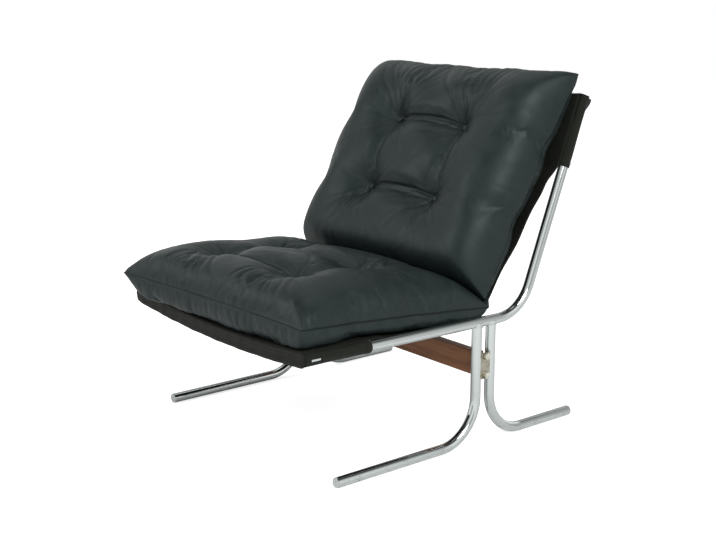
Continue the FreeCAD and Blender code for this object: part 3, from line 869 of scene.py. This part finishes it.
def puckers(c, random):
    """Depth of the short folds along the four sides of the seam."""
    depth = np.zeros_like(c["x"])
    sides = [(c["s"], c["left"]), (c["s"], c["left"].max() - c["left"]),
             (c["x"], c["near"]), (c["x"], c["near"].max() - c["near"])]
    for along, away in sides:
        reach = float(np.abs(along).max())
        for spot in np.arange(-reach, reach, 0.033) + random.uniform(-0.012, 0.012):
            spot = spot + random.uniform(-0.010, 0.010)
            lean = random.uniform(-0.35, 0.35)
            fold = bell(along - spot - lean * away, random.uniform(0.004, 0.008))
            fade = np.exp(-away / random.uniform(0.016, 0.055)) * (1 - np.exp(-away / 0.004))
            depth += random.uniform(0.0006, 0.0026) * fold * fade
    return depth


def doubled(c):
    """A sharp crease and a fainter one between the buttons of each row."""
    inside = step(c["column"] - np.abs(c["x"]), -0.004, 0.02)
    bowed = 0.006 * (1 - (c["x"] / c["column"]) ** 2)
    creases = ((0.002, 0.0026, 0.0068), (-0.008, 0.0034, 0.0024))
    lines = [depth * bell(c["s"] - row * c["long"] - bowed - shift, width)
             for row in c["rows"] for shift, width, depth in creases]
    return sum(lines) * inside


def lumps(c, random):
    """Slow unevenness of the stuffing: a sum of long waves."""
    waves = [random.uniform(0.5, 1.0) * np.sin(random.uniform(-42, 42) * c["x"]
             + random.uniform(-42, 42) * c["s"] + random.uniform(0, 6.3)) for _ in range(7)]
    return 0.0011 * sum(waves)


# %% Put one cushion together
def panels_of(c, count):
    """The two smooth panels of a cushion, as grids of points."""
    pillow(c, count)
    s = c["s"] + c["skew"][0] + c["skew"][1] * c["x"]
    panels = []
    for sign, height in zip((1, -1), heights(c)):
        side_view = c["middle"] + s[..., None] * c["along"] + (sign * height)[..., None] * c["up"]
        bulge = c["bulge"] * (sign < 0) * step(height, 0.0, 0.016)
        bulge = bulge * np.abs(c["u"]) ** 12 * (1 - c["v"] ** 8)
        x = c["x"] + np.sign(c["u"]) * bulge
        panels.append(np.concatenate([x[..., None], side_view], axis=-1))
    return panels


def calmed(c, share):
    """1 over the cushion, less by a share towards the end that the other cushion leans on."""
    return 1 - share * step(c["v"] * c["pressed_end"], *c["calm"])


def creased(c, panels):
    """The panels with their creases pushed in, and the depth of the creases."""
    random = np.random.default_rng(c["seed"])
    inner = (1 - np.exp(-c["rim"] / 0.006)) * calmed(c, 0.45)
    pressed, folds = [], []
    for sign, points in zip((1, -1), panels):
        across, along = np.gradient(points, axis=0), np.gradient(points, axis=1)
        normal = unit(np.cross(across, along)) * sign
        fold = (pleats(c, random) + doubled(c) + puckers(c, random)) * inner
        pressed.append(points - normal * (fold + lumps(c, random) * inner)[..., None])
        folds.append(fold)
    return pressed, folds


def layout(count):
    """Faces of two panels that share their rim, and which points of the lower one are its own."""
    upper, lower = numbered(count), np.zeros(count, dtype=int)
    own = np.zeros(count, dtype=bool)
    own[1:-1, 1:-1] = True
    lower[~own] = upper[~own]
    lower[own] = np.arange(upper.size, upper.size + own.sum())
    faces = np.concatenate([quads(upper).reshape(-1, 4), quads(lower).reshape(-1, 4)[:, ::-1]])
    return faces, upper, lower, own


def joined(pair, own):
    """One list of values from an upper and a lower grid that share their rim."""
    wide = pair[0].reshape(own.size, -1)
    return np.concatenate([wide, pair[1][own].reshape(-1, wide.shape[1])])


# %% [markdown]
# ### Let the leather settle
# The cloth solver works on a coarse net of the smooth pillow. It gets a little stuffing pressure
# and leather that is slightly larger than the form, so that the spare leather has to swell
# and buckle. The points under the buttons are held, the seam is held softly, and no point may
# move further than a cap. The movement is then carried over to a net of twice the fineness by
# cubic midpoints, damped at the pressed end, and only there are the fine creases pushed in.

# %% Settle
SETTLE_FRAMES, MOVE_CAP = 24, 0.010
COARSE = (118, 100)
FINE = tuple(2 * count - 1 for count in COARSE)


def solver(c):
    """A coarse net of one cushion with the cloth solver on it."""
    faces, _, _, own = layout(COARSE)
    points = joined(panels_of(c, COARSE), own)
    near = np.min([np.hypot(c["x"] - tx, c["s"] - ts) for tx, ts in c["tufts"]], axis=0)
    held = joined([near < 0.011] * 2, own)[:, 0]
    sewn = joined([c["rim"] < 0.002] * 2, own)[:, 0]
    mesh = bpy.data.meshes.new("settling")
    mesh.from_pydata(points.tolist(), [], faces.tolist())
    net = bpy.data.objects.new("settling", mesh)
    scene.collection.objects.link(net)
    group = net.vertex_groups.new(name="hold")
    for chosen, weight in ((~held & ~sewn, 0.03), (sewn, 0.95), (held, 1.0)):
        group.add(np.flatnonzero(chosen).tolist(), weight, "REPLACE")
    cloth = net.modifiers.new("settle", "CLOTH")
    use = cloth.settings
    use.quality, use.mass = 6, 0.25
    use.tension_stiffness = use.compression_stiffness = 18
    use.shear_stiffness, use.bending_stiffness = 8, 0.5
    use.vertex_group_mass, use.pin_stiffness = "hold", 1.0
    use.use_pressure, use.uniform_pressure_force = True, 1.6
    use.shrink_min = -0.004
    use.effector_weights.gravity = 0
    cloth.collision_settings.use_collision = False
    cloth.point_cache.frame_start, cloth.point_cache.frame_end = 1, SETTLE_FRAMES
    return net, points


def settled_moves(cushions, cap):
    """How far the solver moves every point of the coarse nets, as upper and lower grids."""
    nets = [solver(c) for c in cushions]
    for moment in range(1, SETTLE_FRAMES + 1):
        scene.frame_set(moment)
    graph = bpy.context.evaluated_depsgraph_get()
    _, upper, lower, _ = layout(COARSE)
    moves = []
    for net, start in nets:
        end = np.empty(start.size)
        net.evaluated_get(graph).data.vertices.foreach_get("co", end)
        move = end.reshape(-1, 3) - start
        length = np.linalg.norm(move, axis=1, keepdims=True)
        move *= np.minimum(1, cap / np.maximum(length, 1e-9))
        moves.append([move[upper], move[lower]])
        print("settled by up to", round(float(length.max()) * 1000, 1), "mm, mean",
              round(float(length.mean()) * 1000, 1), "mm")
    scene.frame_set(1)
    for net, _ in nets:
        bpy.data.objects.remove(net)
    return moves


def finer(grid):
    """The grid with a point between every two, by cubic midpoints along both directions."""
    for axis in (0, 1):
        row = np.moveaxis(grid, axis, 0)
        wide = np.concatenate([2 * row[:1] - row[1:2], row, 2 * row[-1:] - row[-2:-1]])
        out = np.empty((2 * len(row) - 1, *row.shape[1:]))
        out[::2] = row
        out[1::2] = (9 * (row[:-1] + row[1:]) - wide[:-3] - wide[3:]) / 16
        grid = np.moveaxis(out, 0, axis)
    return grid


# %% Make both cushions
def cushion(word, c, moves):
    """One finished cushion: smooth form, settled, creased, with its seam and fold attributes."""
    panels = panels_of(c, FINE)
    lively = calmed(c, 0.85)[..., None]
    c["panels"] = [clear_of_sling(c, panel + finer(move) * lively)
                   for panel, move in zip(panels, moves)]
    panels, folds = creased(c, c["panels"])
    panels = [clear_of_sling(c, panel) for panel in panels]
    faces, _, _, own = layout(FINE)
    made = piece(word + "_pillow", joined(panels, own), faces, cover_leather, word + "_cushion")
    # The fold attribute holds the crease depth, which the leather turns into painted shade.
    depth = np.clip(joined(folds, own) / 0.006, 0, 1)
    for attribute, values in (("seam", joined([c["rim"]] * 2, own)), ("fold", depth)):
        layer = made.data.attributes.new(attribute, "FLOAT", "POINT")
        layer.data.foreach_set("value", values.ravel().astype(np.float32))
    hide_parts(*(word + "_" + node
                        for node in ("upper_cover", "lower_cover", "fill", "cords")))
    deepest = round(float(folds[0].max()) * 1000, 1)
    print(made.name, "faces", len(faces), "creases up to", deepest, "mm")


seat_moves, back_moves = settled_moves([SEAT, BACK], MOVE_CAP)
cushion("seat", SEAT, seat_moves)
cushion("back", BACK, back_moves)

# %% [markdown]
# ### Buttons
# A small covered button sits in each hollow, on both faces. It is a turned shape: a profile of
# radius and height that goes once round, domed on top and tucked in underneath.

# %% Buttons
def buttons(name, c, body, node):
    """Domes on the tufts of both panels, turned about the cushion's up direction."""
    turn, grow = parameters(circle(32), np.linspace(0, 1, 12))
    radius = 0.0066 * np.sin(math.pi * (0.06 + 0.60 * grow))
    radius = np.where(grow == 1, 0.0001, radius * np.sqrt(np.maximum(0, 1 - grow ** 6)))
    rise = 0.0052 * np.sin(grow * math.pi / 2) - 0.0012
    across = np.array([1.0, 0, 0])
    along, up = np.array([0, *c["along"]]), np.array([0, *c["up"]])
    points, faces = [], []
    for tx, ts in c["tufts"]:
        nearest = np.unravel_index(np.argmin(np.hypot(c["x"] - tx, c["s"] - ts)), c["x"].shape)
        for sign, panel in zip((1, -1), c["panels"]):
            spot = panel[nearest]
            ring = np.cos(turn)[..., None] * across + sign * np.sin(turn)[..., None] * along
            points.append(spot + ring * radius[..., None] + sign * up * rise[..., None])
            faces.append(quads(numbered(turn.shape, len(faces) * turn.size), close_rows=True))
    made = piece(name, np.array(points), np.array(faces), button_leather, body)
    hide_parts(node)
    return made


made_buttons = [buttons("seat_tufts", SEAT, "seat_cushion", "seat_buttons"),
                buttons("back_tufts", BACK, "back_cushion", "back_buttons")]
print("buttons:", [made.name for made in made_buttons])
